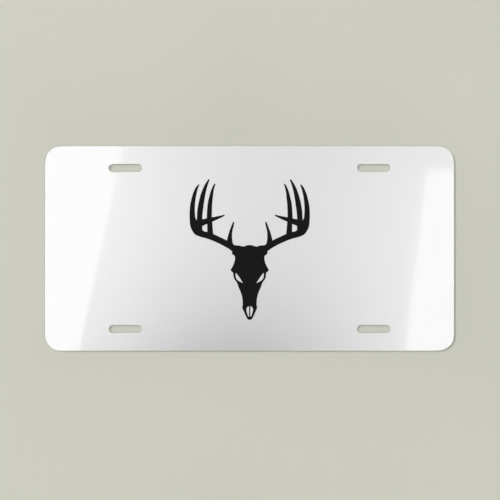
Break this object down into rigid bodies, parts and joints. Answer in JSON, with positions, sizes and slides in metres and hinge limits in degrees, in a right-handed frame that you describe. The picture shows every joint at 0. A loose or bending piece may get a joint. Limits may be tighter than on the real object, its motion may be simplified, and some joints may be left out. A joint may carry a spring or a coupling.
{
  "type": "decorative vehicle licence plate",
  "caption": "Flat white gloss metal plate for a car, with rounded corners, mounting slots and a black deer skull printed on its face.",
  "frame": {"origin": "centre of the sheet's back face", "axes": "+X along the sheet's length, +Y its upright direction on a car, +Z out of its printed face"},
  "size_m": [0.3048, 0.1524, 0.0015],
  "materials": {
    "white_coat": "high gloss white baked coat on aluminium sheet",
    "black_ink": "dull cured ink film",
    "bare_aluminium": "mill finish with rolling grain"
  },
  "bodies": {
    "root": {"plate_sheet": "white_coat", "deer_skull_print": "black_ink"}
  },
  "joints": []
}
